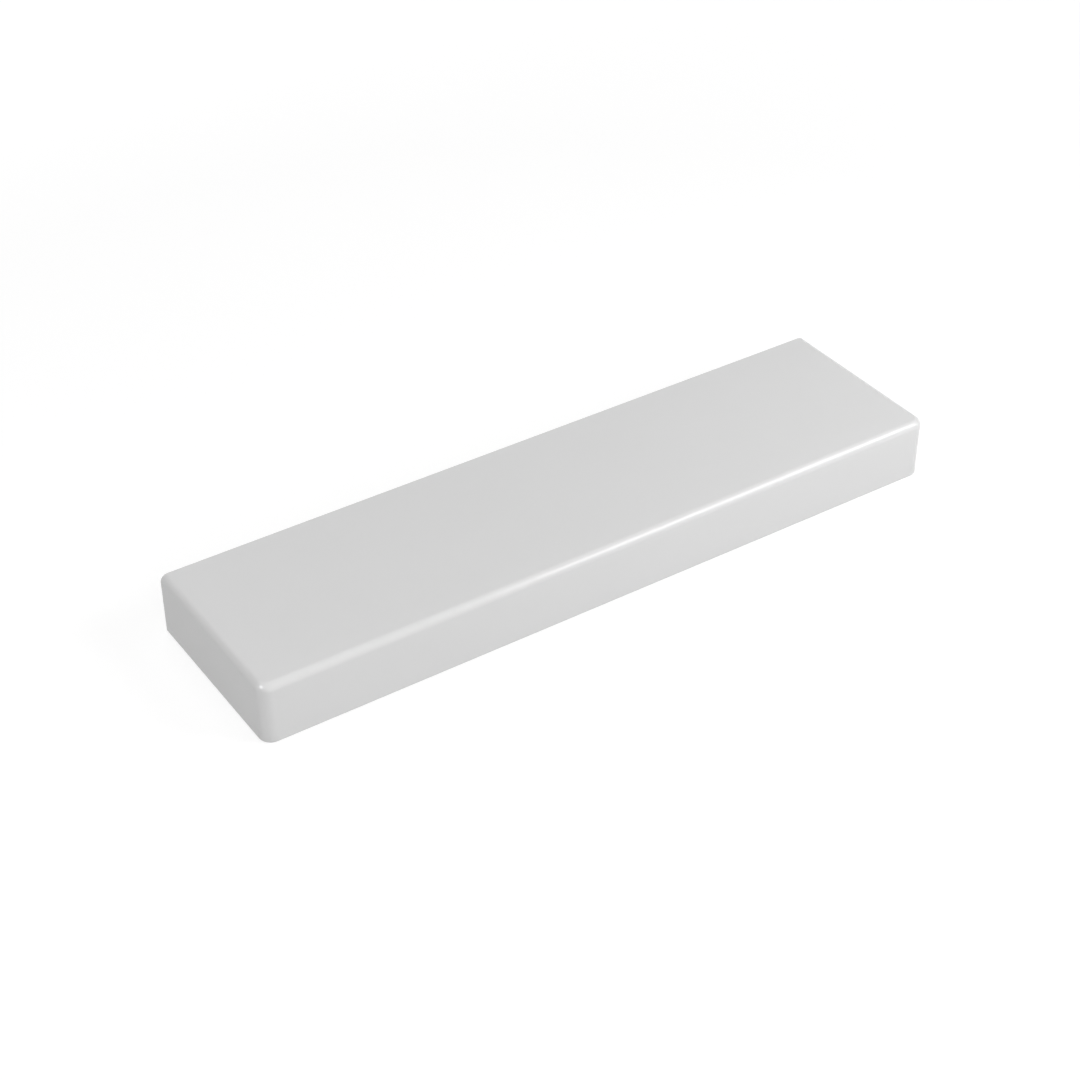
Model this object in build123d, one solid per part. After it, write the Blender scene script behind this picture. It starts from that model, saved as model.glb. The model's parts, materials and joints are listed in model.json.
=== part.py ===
"""Ceramic shelf tile: one solid fired slab, square where it meets the wall and rounded everywhere a hand reaches.

Frame: the origin is the centre of the underside, +X runs along the wall, +Y points to the wall, +Z is up.
The tile lies on its underside, so its back face is at +Y and its rounded front edge is at -Y.
"""

import os

from build123d import *

# Driving dimensions, in millimetres
LENGTH = 300.0  # along the wall
DEPTH = 77.5  # from the wall to the front face
THICKNESS = 25.5  # from the underside to the top face
FRONT_CORNER_RADIUS = 5.0  # the two upright front corners, seen in plan
TOP_EDGE_RADIUS = 3.0  # the top edge along the front and both ends
ARRIS_RADIUS = 0.5  # the edges round the back face and the underside, eased before firing


def slab_blank():
    """The pressed slab: a rectangle in plan with its two front corners rounded, at full thickness."""
    with BuildPart() as blank:
        with BuildSketch():
            outline = Rectangle(LENGTH, DEPTH)
            front_corners = outline.vertices().group_by(Axis.Y)[0]
            fillet(front_corners, FRONT_CORNER_RADIUS)
        extrude(amount=THICKNESS)
    return blank.part


def round_top_edge(blank):
    """Rolls one radius along the front, round both front corners and down both ends, out through the back face."""
    top_edges = blank.faces().sort_by(Axis.Z)[-1].edges()
    back_edge = top_edges.sort_by(Axis.Y)[-1]
    return fillet(top_edges - [back_edge], TOP_EDGE_RADIUS)


def ease_arrises(slab):
    """Takes the sharpness off every edge of the back face and of the underside."""
    back_face = slab.faces().sort_by(Axis.Y)[-1]
    underside = slab.faces().sort_by(Axis.Z)[0]
    shared_edge = back_face.edges().sort_by(Axis.Z)[0]
    arrises = back_face.edges() + [edge for edge in underside.edges() if not edge.is_same(shared_edge)]
    return fillet(arrises, ARRIS_RADIUS)


def shelf_tile():
    """The whole tile, which is one fired piece."""
    return ease_arrises(round_top_edge(slab_blank()))


os.makedirs("parts", exist_ok=True)
export_step(shelf_tile(), "parts/shelf_tile.step")
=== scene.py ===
"""Ceramic shelf tile: one fired slab, glazed where it shows and bare where it is bonded, in a plain studio.

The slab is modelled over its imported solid, in metres, in the same frame: the origin is the centre of the
underside, +X runs along the wall, +Y points to the wall and +Z is up.
"""

import json
import math

import bmesh
import bpy
from bpy.props import FloatProperty, FloatVectorProperty, IntProperty, PointerProperty
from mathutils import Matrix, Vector


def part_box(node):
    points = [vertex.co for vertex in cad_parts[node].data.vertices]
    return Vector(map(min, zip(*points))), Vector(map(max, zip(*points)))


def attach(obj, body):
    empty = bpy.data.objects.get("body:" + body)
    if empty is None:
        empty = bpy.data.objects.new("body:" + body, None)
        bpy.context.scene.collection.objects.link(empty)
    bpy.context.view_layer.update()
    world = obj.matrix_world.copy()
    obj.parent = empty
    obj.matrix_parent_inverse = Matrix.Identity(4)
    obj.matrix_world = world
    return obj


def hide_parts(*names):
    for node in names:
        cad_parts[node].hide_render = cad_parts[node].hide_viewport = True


bl_info = {
    "name": "Ceramic shelf tile",
    "version": (1, 0, 0),
    "blender": (4, 5, 0),
    "location": "View3D > Sidebar > Shelf tile",
    "description": "Models a glazed ceramic shelf tile and the studio that it is seen in",
    "category": "Object",
}

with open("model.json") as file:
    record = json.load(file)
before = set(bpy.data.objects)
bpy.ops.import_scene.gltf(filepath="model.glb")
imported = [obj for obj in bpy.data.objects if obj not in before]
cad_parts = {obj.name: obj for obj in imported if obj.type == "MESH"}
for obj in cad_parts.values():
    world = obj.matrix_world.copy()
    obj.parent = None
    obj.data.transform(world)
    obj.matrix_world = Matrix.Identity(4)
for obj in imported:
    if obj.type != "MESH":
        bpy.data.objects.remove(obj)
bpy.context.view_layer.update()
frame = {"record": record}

BODY = "root"
NODE = "shelf_tile"
SLOT = "white_glaze"
LOW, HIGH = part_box(NODE)
GLAZE_COLOR = next(m["base_color"] for m in frame["record"]["materials"] if m["slot"] == SLOT)

# Two points closer than this are at the same place, and much closer ones are merged
SAME_PLACE = 1e-5
MERGE_DISTANCE = 1e-6
# The slab's flats are larger than this, in square metres, and the steps of its rounded edges are smaller
SMALLEST_FLAT = 0.0001
# Most of a noise's values lie between these two
NOISE_LOW, NOISE_HIGH = 0.3, 0.7
# The sockets of a Mix node that mixes colours, by their places
MIX_SHARE, MIX_FIRST, MIX_SECOND, MIX_RESULT = 0, 6, 7, 2
# The camera's sensor in millimetres, and how near and how far it sees in metres
SENSOR_WIDTH = 36
NEAREST, FARTHEST = 0.01, 100


# Sizes, finish and studio settings

class SlabSizes(bpy.types.PropertyGroup):
    """The slab's edges, and how finely they are divided"""

    corner_radius: FloatProperty(
        name="Front corner radius",
        description="Radius of the two upright front corners, seen from above",
        default=0.005,
        unit="LENGTH",
    )
    corner_steps: IntProperty(
        name="Front corner steps",
        description="Faces round each upright front corner",
        default=16,
        min=4,
    )
    top_radius: FloatProperty(
        name="Top edge radius",
        description="Radius that rolls along the front and both ends of the top face",
        default=0.003,
        unit="LENGTH",
    )
    top_steps: IntProperty(
        name="Top edge steps",
        description="Faces across the rolled top edge",
        default=16,
        min=4,
    )
    arris_radius: FloatProperty(
        name="Arris radius",
        description="Radius of the eased edges round the back face and the underside",
        default=0.0005,
        unit="LENGTH",
    )
    arris_steps: IntProperty(
        name="Arris steps",
        description="Faces across each eased edge",
        default=5,
        min=2,
    )
    flat_margin: FloatProperty(
        name="Flat margin",
        description="Narrow rim inside each flat face that keeps its shading flat",
        default=0.0003,
        unit="LENGTH",
    )
    grid: FloatProperty(
        name="Grid",
        description="Largest distance between the cuts across the flat faces",
        default=0.008,
        unit="LENGTH",
    )


class TileFinish(bpy.types.PropertyGroup):
    """The glaze, and the bare fired clay under it"""

    glaze_color: FloatVectorProperty(
        name="Glaze colour",
        description="Colour of the white glaze",
        default=GLAZE_COLOR,
        subtype="COLOR",
        min=0,
        max=1,
    )
    glaze_roughness: FloatProperty(
        name="Glaze roughness",
        description="Mean roughness of the glaze",
        default=0.1,
        subtype="FACTOR",
        min=0,
        max=1,
    )
    glaze_spread: FloatProperty(
        name="Glaze roughness spread",
        description="How far the clouds stray from the glaze's roughness",
        default=0.06,
        subtype="FACTOR",
        min=0,
        max=1,
    )
    glaze_ior: FloatProperty(
        name="Glaze refraction",
        description="Index of refraction of the glaze",
        default=1.55,
        min=1,
    )
    cloud_size: FloatProperty(
        name="Cloud size",
        description="Size of the faint clouds in the glaze's colour and roughness",
        default=0.03,
        unit="LENGTH",
    )
    cloud_contrast: FloatProperty(
        name="Cloud contrast",
        description="How far the clouds stray from the glaze's colour",
        default=0.012,
        subtype="FACTOR",
        min=0,
        max=1,
    )
    wave_size: FloatProperty(
        name="Wave size",
        description="Length of the slow waves in the glaze's surface",
        default=0.018,
        unit="LENGTH",
    )
    wave_height: FloatProperty(
        name="Wave height",
        description="Height of the slow waves in the glaze's surface",
        default=0.00002,
        unit="LENGTH",
    )
    clay_color: FloatVectorProperty(
        name="Clay colour",
        description="Colour of the bare fired clay on the bonded faces",
        default=(0.72, 0.695, 0.645),
        subtype="COLOR",
        min=0,
        max=1,
    )
    clay_roughness: FloatProperty(
        name="Clay roughness",
        description="Mean roughness of the bare clay",
        default=0.85,
        subtype="FACTOR",
        min=0,
        max=1,
    )
    clay_spread: FloatProperty(
        name="Clay roughness spread",
        description="How far the grains stray from the clay's roughness",
        default=0.1,
        subtype="FACTOR",
        min=0,
        max=1,
    )
    grain_size: FloatProperty(
        name="Grain size",
        description="Size of the clay's grain",
        default=0.0007,
        unit="LENGTH",
    )
    grain_contrast: FloatProperty(
        name="Grain contrast",
        description="How far the grains stray from the clay's colour",
        default=0.12,
        subtype="FACTOR",
        min=0,
        max=1,
    )
    grain_height: FloatProperty(
        name="Grain height",
        description="Height of the clay's grain",
        default=0.00006,
        unit="LENGTH",
    )
    glaze_height: FloatProperty(
        name="Glaze height",
        description="How far the glaze stands above the bare clay",
        default=0.0001,
        unit="LENGTH",
    )
    glaze_line: FloatProperty(
        name="Glaze line",
        description="How far in from the bonded faces the glaze ends, round the eased edges",
        default=0.00008,
        unit="LENGTH",
    )
    line_wander: FloatProperty(
        name="Line wander",
        description="How far the glaze line strays where the glaze was wiped off",
        default=0.00005,
        unit="LENGTH",
    )
    wander_size: FloatProperty(
        name="Wander size",
        description="Length of the waves in the glaze line",
        default=0.004,
        unit="LENGTH",
    )
    line_blur: FloatProperty(
        name="Line blur",
        description="How gradually the glaze ends",
        default=0.00003,
        unit="LENGTH",
    )


class StudioSet(bpy.types.PropertyGroup):
    """The floor, the light and the camera"""

    key_azimuth: FloatProperty(
        name="Key azimuth",
        description="Direction of the key lamp, turned from the front towards +X",
        default=math.radians(45.0),
        subtype="ANGLE",
    )
    key_elevation: FloatProperty(
        name="Key elevation",
        description="Height of the key lamp above the floor, as an angle",
        default=math.radians(36.0),
        subtype="ANGLE",
    )
    key_distance: FloatProperty(
        name="Key distance",
        description="From the tile to the key lamp",
        default=0.65,
        unit="LENGTH",
    )
    key_width: FloatProperty(
        name="Key width",
        description="Width of the square-cornered key lamp",
        default=0.38,
        unit="LENGTH",
    )
    key_height: FloatProperty(
        name="Key height",
        description="Height of the square-cornered key lamp",
        default=0.285,
        unit="LENGTH",
    )
    key_power: FloatProperty(
        name="Key power",
        description="Power of the key lamp",
        default=1.424,
        unit="POWER",
    )
    wash_azimuth: FloatProperty(
        name="Wash azimuth",
        description="Direction of the soft wash lamp behind the key, turned from the front towards +X",
        default=math.radians(48.0),
        subtype="ANGLE",
    )
    wash_elevation: FloatProperty(
        name="Wash elevation",
        description="Height of the wash lamp above the floor, as an angle",
        default=math.radians(36.0),
        subtype="ANGLE",
    )
    wash_distance: FloatProperty(
        name="Wash distance",
        description="From the tile to the wash lamp",
        default=0.9,
        unit="LENGTH",
    )
    wash_size: FloatProperty(
        name="Wash size",
        description="Diameter of the round wash lamp",
        default=0.5,
        unit="LENGTH",
    )
    wash_power: FloatProperty(
        name="Wash power",
        description="Power of the wash lamp",
        default=1.786,
        unit="POWER",
    )
    side_azimuth: FloatProperty(
        name="Side azimuth",
        description="Direction of the side lamp, turned from the front towards +X",
        default=math.radians(-81.0),
        subtype="ANGLE",
    )
    side_elevation: FloatProperty(
        name="Side elevation",
        description="Height of the side lamp above the floor, as an angle",
        default=math.radians(33.0),
        subtype="ANGLE",
    )
    side_distance: FloatProperty(
        name="Side distance",
        description="From the tile to the side lamp",
        default=0.7,
        unit="LENGTH",
    )
    side_size: FloatProperty(
        name="Side size",
        description="Diameter of the round side lamp",
        default=0.3,
        unit="LENGTH",
    )
    side_power: FloatProperty(
        name="Side power",
        description="Power of the side lamp",
        default=1.087,
        unit="POWER",
    )
    glint_azimuth: FloatProperty(
        name="Glint azimuth",
        description="Direction of the screen that only the glaze mirrors, turned from the front towards +X",
        default=math.radians(-82.0),
        subtype="ANGLE",
    )
    glint_elevation: FloatProperty(
        name="Glint elevation",
        description="Height of the screen above the floor, as an angle",
        default=math.radians(36.4),
        subtype="ANGLE",
    )
    glint_distance: FloatProperty(
        name="Glint distance",
        description="From the tile to the screen",
        default=3.14,
        unit="LENGTH",
    )
    glint_size: FloatProperty(
        name="Glint size",
        description="Diameter of the round screen",
        default=1.66,
        unit="LENGTH",
    )
    glint_power: FloatProperty(
        name="Glint power",
        description="Power of the screen",
        default=44.0,
        unit="POWER",
    )
    fill_azimuth: FloatProperty(
        name="Fill azimuth",
        description="Direction of the fill lamp, turned from the front towards +X",
        default=math.radians(-15.0),
        subtype="ANGLE",
    )
    fill_elevation: FloatProperty(
        name="Fill elevation",
        description="Height of the fill lamp above the floor, as an angle",
        default=math.radians(8.0),
        subtype="ANGLE",
    )
    fill_distance: FloatProperty(
        name="Fill distance",
        description="From the tile to the fill lamp",
        default=1.2,
        unit="LENGTH",
    )
    fill_size: FloatProperty(
        name="Fill size",
        description="Diameter of the round fill lamp",
        default=0.8,
        unit="LENGTH",
    )
    fill_power: FloatProperty(
        name="Fill power",
        description="Power of the fill lamp",
        default=7.535,
        unit="POWER",
    )
    back_azimuth: FloatProperty(
        name="Back azimuth",
        description="Direction of the back lamp, turned from the front towards +X",
        default=math.radians(180.0),
        subtype="ANGLE",
    )
    back_elevation: FloatProperty(
        name="Back elevation",
        description="Height of the back lamp above the floor, as an angle",
        default=math.radians(60.0),
        subtype="ANGLE",
    )
    back_distance: FloatProperty(
        name="Back distance",
        description="From the tile to the back lamp",
        default=1.2,
        unit="LENGTH",
    )
    back_size: FloatProperty(
        name="Back size",
        description="Diameter of the round back lamp",
        default=0.8,
        unit="LENGTH",
    )
    back_power: FloatProperty(
        name="Back power",
        description="Power of the back lamp",
        default=3.848,
        unit="POWER",
    )
    low_elevation: FloatProperty(
        name="Low lamp elevation",
        description="Height of the low lamp, which lights the back face, above the floor, as an angle",
        default=math.radians(3.0),
        subtype="ANGLE",
    )
    low_distance: FloatProperty(
        name="Low lamp distance",
        description="From the tile to the low lamp",
        default=1.2,
        unit="LENGTH",
    )
    low_width: FloatProperty(
        name="Low lamp width",
        description="Width of the oval low lamp",
        default=0.6,
        unit="LENGTH",
    )
    low_height: FloatProperty(
        name="Low lamp height",
        description="Height of the oval low lamp",
        default=0.08,
        unit="LENGTH",
    )
    low_power: FloatProperty(
        name="Low lamp power",
        description="Power of the low lamp",
        default=4.2,
        unit="POWER",
    )
    surround: FloatProperty(
        name="Surround",
        description="Strength of the even light from all round",
        default=0.128,
        min=0,
    )
    floor_size: FloatProperty(
        name="Floor size",
        description="Length of the floor's sides",
        default=20.0,
        unit="LENGTH",
    )
    floor_gap: FloatProperty(
        name="Floor gap",
        description="How far the floor lies under the tile, so that the two faces stay apart",
        default=0.0001,
        unit="LENGTH",
    )
    floor_tone: FloatProperty(
        name="Floor tone",
        description="How much of the light on the floor comes back to the tile",
        default=0.3,
        subtype="FACTOR",
        min=0,
        max=1,
    )
    floor_glow: FloatProperty(
        name="Floor glow",
        description="How white the floor round the tile looks before any light falls on it, and 1 is white",
        default=0.78,
        subtype="FACTOR",
        min=0,
        max=1,
    )
    floor_near: FloatProperty(
        name="Floor near",
        description="How far from the tile the floor starts to look whiter, as the lamps reach it less",
        default=0.35,
        unit="LENGTH",
    )
    floor_far: FloatProperty(
        name="Floor far",
        description="How far from the tile the floor is white with no lamp on it",
        default=1.1,
        unit="LENGTH",
    )
    lens: FloatProperty(
        name="Lens",
        description="Focal length of the camera, on a 36 mm sensor",
        default=73.708,
        min=10,
    )
    camera_azimuth: FloatProperty(
        name="Camera azimuth",
        description="Direction of the camera, turned from the front towards +X",
        default=math.radians(-33.781),
        subtype="ANGLE",
    )
    camera_elevation: FloatProperty(
        name="Camera elevation",
        description="Height of the camera above the floor, as an angle",
        default=math.radians(36.506),
        subtype="ANGLE",
    )
    camera_distance: FloatProperty(
        name="Camera distance",
        description="From the aim to the camera",
        default=0.85078,
        unit="LENGTH",
    )
    camera_aim: FloatVectorProperty(
        name="Camera aim",
        description="The point in the middle of the picture",
        default=(-0.00924, 0.00088, 0.0068),
        subtype="TRANSLATION",
    )


# Directions and places

def direction(azimuth, elevation):
    """The unit vector towards an azimuth, turned from -Y towards +X, and an elevation."""
    level = math.cos(elevation)
    return Vector((math.sin(azimuth) * level, -math.cos(azimuth) * level, math.sin(elevation)))


def facing(towards):
    """The turn of a lamp or camera that stands in the direction towards and looks back along it."""
    return (-towards).to_track_quat("-Z", "Y").to_euler()


def same(a, b):
    """Whether two coordinates are at the same place."""
    return abs(a - b) < SAME_PLACE


def on_back(point):
    return same(point.y, HIGH.y)


def on_front(point):
    return same(point.y, LOW.y)


def on_top(point):
    return same(point.z, HIGH.z)


def on_underside(point):
    return same(point.z, LOW.z)


def both_ends(edge, test):
    """Whether a test of place holds at both ends of an edge."""
    return all(test(vert.co) for vert in edge.verts)


# The slab

def select_edges(slab, wanted):
    """In edit mode, selects the edges that the test picks, and nothing else."""
    bpy.ops.mesh.select_mode(type="EDGE")
    bpy.ops.mesh.select_all(action="DESELECT")
    mesh = bmesh.from_edit_mesh(slab.data)
    chosen = [edge for edge in mesh.edges if wanted(edge)]
    if not chosen:
        raise RuntimeError("no edge of the slab is where it should be")
    for edge in chosen:
        edge.select_set(True)
    bmesh.update_edit_mesh(slab.data)


def select_faces(slab, wanted):
    """In edit mode, selects the faces that the test picks, and nothing else."""
    bpy.ops.mesh.select_mode(type="FACE")
    bpy.ops.mesh.select_all(action="DESELECT")
    mesh = bmesh.from_edit_mesh(slab.data)
    mesh.normal_update()
    chosen = [face for face in mesh.faces if wanted(face)]
    if not chosen:
        raise RuntimeError("no face of the slab is where it should be")
    for face in chosen:
        face.select_set(True)
    bmesh.update_edit_mesh(slab.data)


def round_selected(radius, steps):
    """Rounds the selected edges to a radius."""
    bpy.ops.mesh.bevel(offset=radius, offset_type="OFFSET", segments=steps, profile=0.5, clamp_overlap=False)


def pressed_blank():
    """The slab as it leaves the press: a square-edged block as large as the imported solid."""
    bpy.ops.object.select_all(action="DESELECT")
    bpy.ops.mesh.primitive_cube_add(size=1, location=(LOW + HIGH) / 2, scale=HIGH - LOW)
    bpy.ops.object.transform_apply(location=True, rotation=True, scale=True)
    slab = bpy.context.object
    slab.name = "glazed_slab"
    slab.data.name = "glazed_slab"
    return slab


def round_front_corners(slab, sizes):
    """The two upright edges at the front."""
    def upright(edge):
        a, b = (vert.co for vert in edge.verts)
        return both_ends(edge, on_front) and same(a.x, b.x)

    select_edges(slab, upright)
    round_selected(sizes.corner_radius, sizes.corner_steps)


def round_top_edge(slab, sizes):
    """One radius along the front, round both corners and down both ends, out through the back face."""
    select_edges(slab, lambda edge: both_ends(edge, on_top) and not both_ends(edge, on_back))
    round_selected(sizes.top_radius, sizes.top_steps)


def ease_arrises(slab, sizes):
    """Every edge of the back face and of the underside."""
    def arris(edge):
        return both_ends(edge, on_back) or both_ends(edge, on_underside)

    select_edges(slab, arris)
    round_selected(sizes.arris_radius, sizes.arris_steps)


def is_flat(face):
    """Whether a face is one of the six flats, and not a step of a rounded edge."""
    square_on = max(abs(part) for part in face.normal) > 1 - SAME_PLACE
    return square_on and face.calc_area() > SMALLEST_FLAT


def cut_places(low, high, grid):
    """Places for cuts between two coordinates, evenly spaced and no further apart than the grid."""
    count = math.ceil((high - low) / grid)
    return [low + (high - low) * step / count for step in range(1, count)]


def divide_flats(slab, sizes):
    """Gives each flat a narrow rim, so that it stays flat to the light, and a grid of cuts."""
    select_faces(slab, is_flat)
    bpy.ops.mesh.inset(thickness=sizes.flat_margin, depth=0, use_individual=True)
    margin = sizes.corner_radius + sizes.flat_margin
    for axis, normal in enumerate(((1, 0, 0), (0, 1, 0), (0, 0, 1))):
        low, high = LOW[axis] + margin, HIGH[axis] - margin
        for place in (low, *cut_places(low, high, sizes.grid), high):
            bpy.ops.mesh.select_all(action="SELECT")
            bpy.ops.mesh.bisect(plane_co=Vector(normal) * place, plane_no=normal)


def model_slab(sizes):
    """The whole slab, from the pressed blank to its smooth shading."""
    slab = pressed_blank()
    bpy.ops.object.mode_set(mode="EDIT")
    round_front_corners(slab, sizes)
    round_top_edge(slab, sizes)
    ease_arrises(slab, sizes)
    divide_flats(slab, sizes)
    bpy.ops.mesh.select_all(action="SELECT")
    bpy.ops.mesh.remove_doubles(threshold=MERGE_DISTANCE)
    bpy.ops.mesh.normals_make_consistent(inside=False)
    bpy.ops.object.mode_set(mode="OBJECT")
    bpy.ops.object.shade_smooth()
    return slab


# The glaze and the clay

class NodeBench:
    """A material's or world's node tree, with short ways to add a node and join it up."""

    def __init__(self, owner):
        owner.use_nodes = True
        self.tree = owner.node_tree
        self.tree.nodes.clear()

    def add(self, kind, settings=None, **inputs):
        """Adds a node; an input is a value, or the output socket that feeds it."""
        node = self.tree.nodes.new(kind)
        for name, value in (settings or {}).items():
            setattr(node, name, value)
        for name, value in inputs.items():
            self.feed(node, name.replace("_", " "), value)
        return node

    def feed(self, node, name, value):
        """Sets one input of a node, by its name or its place."""
        socket = node.inputs[int(name)] if name.isdigit() else node.inputs[name]
        if isinstance(value, bpy.types.NodeSocket):
            self.tree.links.new(value, socket)
        else:
            socket.default_value = value

    def math(self, operation, *values):
        """A Math node's output."""
        node = self.add("ShaderNodeMath", {"operation": operation})
        for place, value in enumerate(values):
            self.feed(node, str(place), value)
        return node.outputs[0]

    def span(self, value, low, high, to_low=0.0, to_high=1.0):
        """A value moved from one range to another, held at the ends."""
        node = self.add("ShaderNodeMapRange", {"clamp": True})
        for name, amount in (("Value", value), ("From Min", low), ("From Max", high)):
            self.feed(node, name, amount)
        self.feed(node, "To Min", to_low)
        self.feed(node, "To Max", to_high)
        return node.outputs["Result"]

    def blend(self, share, first, second):
        """Two colours mixed by a share."""
        node = self.add("ShaderNodeMix", {"data_type": "RGBA"})
        for place, value in ((MIX_SHARE, share), (MIX_FIRST, first), (MIX_SECOND, second)):
            self.feed(node, str(place), value)
        return node.outputs[MIX_RESULT]

    def noise(self, place, size, detail=2.0):
        """Noise whose patches are about a size across, in metres, as a value round 0.5."""
        node = self.add("ShaderNodeTexNoise", Vector=place, Scale=1 / size, Detail=detail)
        return node.outputs[0]


def spread(value, share):
    """A value less a share of itself, and the value with that share added."""
    return value * (1 - share), value * (1 + share)


def shades(color, contrast):
    """A colour a little darker and a little lighter than it is written."""
    dark, light = spread(Vector(color), contrast)
    return (*dark, 1), (*light, 1)


def glaze_share(bench, place, finish):
    """1 where the tile is glazed and 0 on the bonded faces, with the line where the glaze was wiped off."""
    parts = bench.add("ShaderNodeSeparateXYZ", Vector=place).outputs
    from_back = bench.math("SUBTRACT", HIGH.y, parts["Y"])
    from_underside = bench.math("SUBTRACT", parts["Z"], LOW.z)
    from_bonded = bench.math("MINIMUM", from_back, from_underside)
    wander = bench.math("MULTIPLY", bench.noise(place, finish.wander_size), finish.line_wander)
    edge = bench.math("ADD", from_bonded, wander)
    return bench.span(edge, finish.glaze_line - finish.line_blur, finish.glaze_line)


def tile_material(finish):
    """White gloss glaze that stops at the back face and the underside, where the fired clay is bare."""
    material = bpy.data.materials.new("white_glaze")
    bench = NodeBench(material)
    place = bench.add("ShaderNodeTexCoord").outputs["Object"]
    glazed = glaze_share(bench, place, finish)
    cloud = bench.noise(place, finish.cloud_size, detail=3)
    grain = bench.noise(place, finish.grain_size, detail=4)

    glaze = bench.blend(cloud, *shades(finish.glaze_color, finish.cloud_contrast))
    clay = bench.blend(grain, *shades(finish.clay_color, finish.grain_contrast))
    color = bench.blend(glazed, clay, glaze)

    glaze_ends = spread(finish.glaze_roughness, finish.glaze_spread)
    clay_ends = spread(finish.clay_roughness, finish.clay_spread)
    glaze_rough = bench.span(cloud, NOISE_LOW, NOISE_HIGH, *glaze_ends)
    clay_rough = bench.span(grain, NOISE_LOW, NOISE_HIGH, *clay_ends)
    roughness = bench.span(glazed, 0, 1, clay_rough, glaze_rough)

    wave = bench.math("MULTIPLY", bench.noise(place, finish.wave_size, detail=1), finish.wave_height)
    glaze_top = bench.math("ADD", wave, finish.glaze_height)
    clay_top = bench.math("MULTIPLY", grain, finish.grain_height)
    height = bench.span(glazed, 0, 1, clay_top, glaze_top)
    bump = bench.add("ShaderNodeBump", Strength=1.0, Distance=1.0, Height=height)

    shader = bench.add("ShaderNodeBsdfPrincipled", IOR=finish.glaze_ior, Base_Color=color)
    bench.feed(shader, "Roughness", roughness)
    bench.feed(shader, "Normal", bump.outputs[0])
    bench.add("ShaderNodeOutputMaterial", Surface=shader.outputs[0])
    return material


# The studio

def seen(bench):
    """1 where the camera sees a surface, straight on, mirrored or through glass, and 0 elsewhere."""
    rays = bench.add("ShaderNodeLightPath").outputs
    straight = bench.math("MAXIMUM", rays["Is Camera Ray"], rays["Is Transmission Ray"])
    return bench.math("MAXIMUM", straight, rays["Is Glossy Ray"])


def floor_material(studio):
    """A pale floor that looks white and keeps a faint shadow."""
    material = bpy.data.materials.new("studio_floor")
    bench = NodeBench(material)
    tone = studio.floor_tone
    lit = bench.add("ShaderNodeBsdfDiffuse", Color=(tone, tone, tone, 1))
    reach = bench.add("ShaderNodeVectorMath", {"operation": "LENGTH"})
    bench.feed(reach, "0", bench.add("ShaderNodeTexCoord").outputs["Object"])
    distance = reach.outputs["Value"]
    far_glow = 1 - tone * studio.surround
    white = bench.span(distance, studio.floor_near, studio.floor_far, studio.floor_glow, far_glow)
    glow = bench.add("ShaderNodeEmission", Strength=bench.math("MULTIPLY", seen(bench), white))
    both = bench.add("ShaderNodeAddShader")
    bench.feed(both, "0", glow.outputs[0])
    bench.feed(both, "1", lit.outputs[0])
    bench.add("ShaderNodeOutputMaterial", Surface=both.outputs[0])
    material.cycles.emission_sampling = "NONE"
    return material


def set_world(studio):
    """White to look at, and an even light from all round."""
    world = bpy.data.worlds.new("studio_surround")
    bpy.context.scene.world = world
    bench = NodeBench(world)
    strength = bench.span(seen(bench), 0, 1, studio.surround, 1.0)
    light = bench.add("ShaderNodeBackground", Color=(1, 1, 1, 1), Strength=strength)
    bench.add("ShaderNodeOutputWorld", Surface=light.outputs[0])


def add_floor(studio):
    """A level floor just under the tile, far wider than the picture."""
    bpy.ops.object.select_all(action="DESELECT")
    bpy.ops.mesh.primitive_plane_add(size=studio.floor_size, location=(0, 0, LOW.z - studio.floor_gap))
    bpy.ops.object.transform_apply(location=True, rotation=True, scale=True)
    floor = bpy.context.object
    floor.name = "studio_floor"
    floor.data.materials.append(floor_material(studio))


def add_lamp(name, towards, distance, size, power, shape="ELLIPSE"):
    """A flat lamp that faces the tile."""
    bpy.ops.object.light_add(type="AREA", location=towards * distance, rotation=facing(towards))
    lamp = bpy.context.object
    lamp.name = name
    lamp.visible_camera = False
    lamp.data.shape = shape
    lamp.data.size, lamp.data.size_y = size
    lamp.data.energy = power
    return lamp


def add_soft_lamp(name, towards, distance, size, power):
    """A lamp that lights the tile and isn't mirrored in its glaze."""
    lamp = add_lamp(name, towards, distance, size, power)
    lamp.visible_glossy = False


def add_lamps(studio):
    """A key lamp and a screen that the glaze mirrors, and five soft lamps that it doesn't."""
    key = direction(studio.key_azimuth, studio.key_elevation)
    key_size = (studio.key_width, studio.key_height)
    add_lamp("key_lamp", key, studio.key_distance, key_size, studio.key_power, "RECTANGLE")

    screen = direction(studio.glint_azimuth, studio.glint_elevation)
    screen_size = (studio.glint_size, studio.glint_size)
    glint = add_lamp("glint", screen, studio.glint_distance, screen_size, studio.glint_power)
    glint.visible_diffuse = False

    wash = direction(studio.wash_azimuth, studio.wash_elevation)
    wash_size = (studio.wash_size, studio.wash_size)
    add_soft_lamp("wash_lamp", wash, studio.wash_distance, wash_size, studio.wash_power)

    side = direction(studio.side_azimuth, studio.side_elevation)
    side_size = (studio.side_size, studio.side_size)
    add_soft_lamp("side_lamp", side, studio.side_distance, side_size, studio.side_power)

    fill = direction(studio.fill_azimuth, studio.fill_elevation)
    fill_size = (studio.fill_size, studio.fill_size)
    add_soft_lamp("fill_lamp", fill, studio.fill_distance, fill_size, studio.fill_power)

    back = direction(studio.back_azimuth, studio.back_elevation)
    back_size = (studio.back_size, studio.back_size)
    add_soft_lamp("back_lamp", back, studio.back_distance, back_size, studio.back_power)

    low = direction(studio.back_azimuth, studio.low_elevation)
    low_size = (studio.low_width, studio.low_height)
    add_soft_lamp("low_lamp", low, studio.low_distance, low_size, studio.low_power)


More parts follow.
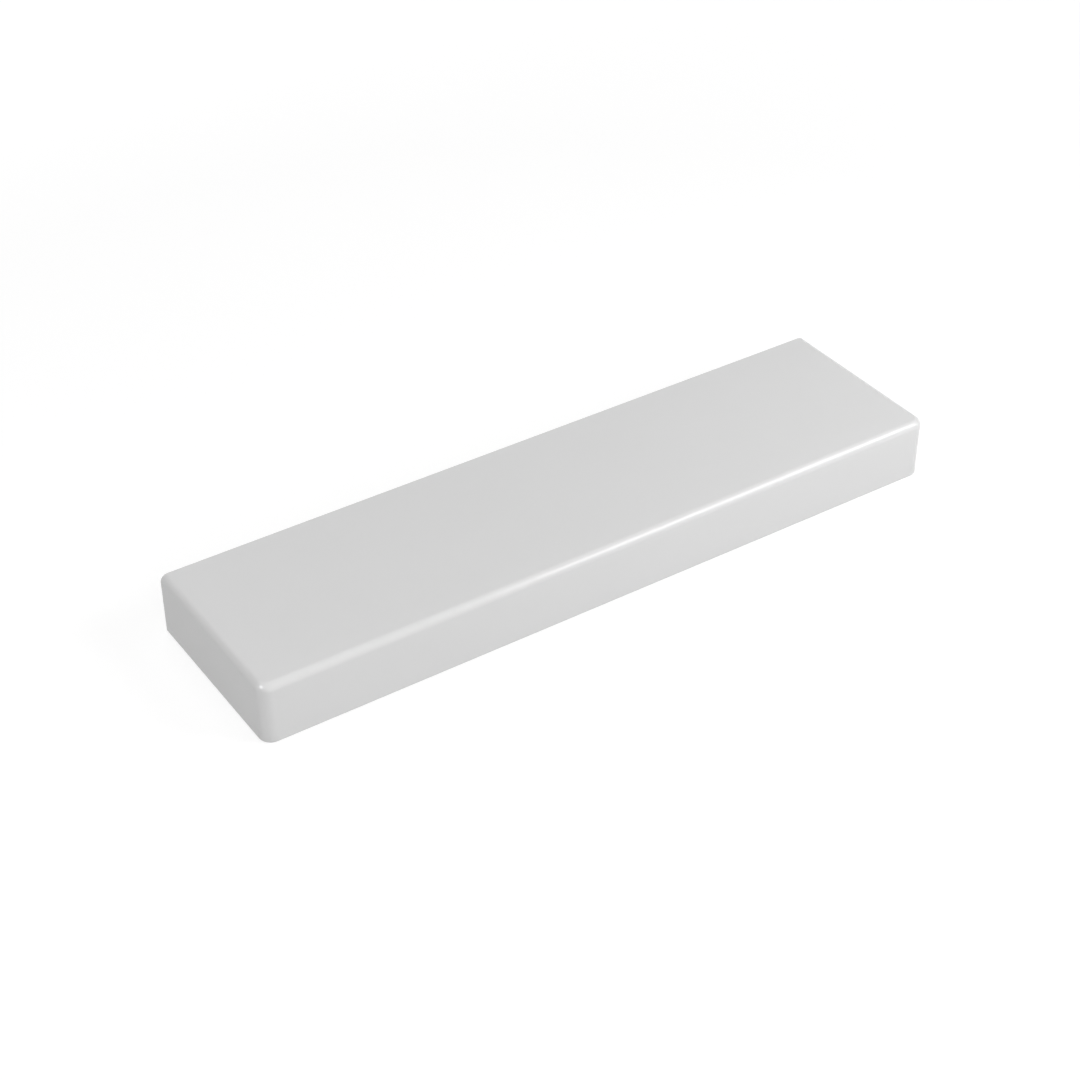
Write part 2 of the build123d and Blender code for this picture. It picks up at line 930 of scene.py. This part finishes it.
def add_camera(studio):
    """The camera, at the photograph's viewing angle."""
    towards = direction(studio.camera_azimuth, studio.camera_elevation)
    place = Vector(studio.camera_aim) + towards * studio.camera_distance
    bpy.ops.object.camera_add(location=place, rotation=facing(towards))
    camera = bpy.context.object
    camera.name = "photo_camera"
    camera.data.sensor_width = SENSOR_WIDTH
    camera.data.lens = studio.lens
    camera.data.clip_start = NEAREST
    camera.data.clip_end = FARTHEST
    bpy.context.scene.camera = camera


# The steps and their panel

class SHELF_TILE_OT_slab(bpy.types.Operator):
    """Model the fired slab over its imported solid, with its glaze and its bare bonded faces"""

    bl_idname = "shelf_tile.slab"
    bl_label = "Model the slab"

    def execute(self, context):
        slab = model_slab(context.scene.slab_sizes)
        slab.data.materials.append(tile_material(context.scene.tile_finish))
        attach(slab, BODY)
        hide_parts(NODE)
        return {"FINISHED"}


class SHELF_TILE_OT_stage(bpy.types.Operator):
    """Set the floor, the light and the camera"""

    bl_idname = "shelf_tile.stage"
    bl_label = "Set the stage"

    def execute(self, context):
        studio = context.scene.studio_set
        add_floor(studio)
        set_world(studio)
        add_lamps(studio)
        add_camera(studio)
        context.scene.view_settings.view_transform = "Standard"
        return {"FINISHED"}


class SHELF_TILE_PT_panel(bpy.types.Panel):
    """The tile's sizes, finish and studio, with the steps that build them"""

    bl_idname = "SHELF_TILE_PT_panel"
    bl_label = "Shelf tile"
    bl_space_type = "VIEW_3D"
    bl_region_type = "UI"
    bl_category = "Shelf tile"

    def draw(self, context):
        groups = (
            (context.scene.slab_sizes, SHELF_TILE_OT_slab),
            (context.scene.tile_finish, None),
            (context.scene.studio_set, SHELF_TILE_OT_stage),
        )
        for group, step in groups:
            box = self.layout.box()
            for name in group.__annotations__:
                box.prop(group, name)
            if step:
                box.operator(step.bl_idname)


CLASSES = (SlabSizes, TileFinish, StudioSet, SHELF_TILE_OT_slab, SHELF_TILE_OT_stage, SHELF_TILE_PT_panel)


def register():
    for item in CLASSES:
        bpy.utils.register_class(item)
    bpy.types.Scene.slab_sizes = PointerProperty(type=SlabSizes)
    bpy.types.Scene.tile_finish = PointerProperty(type=TileFinish)
    bpy.types.Scene.studio_set = PointerProperty(type=StudioSet)


def unregister():
    del bpy.types.Scene.studio_set
    del bpy.types.Scene.tile_finish
    del bpy.types.Scene.slab_sizes
    for item in reversed(CLASSES):
        bpy.utils.unregister_class(item)


def main():
    """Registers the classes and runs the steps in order."""
    register()
    bpy.ops.shelf_tile.slab()
    bpy.ops.shelf_tile.stage()


if __name__ == "__main__":
    main()
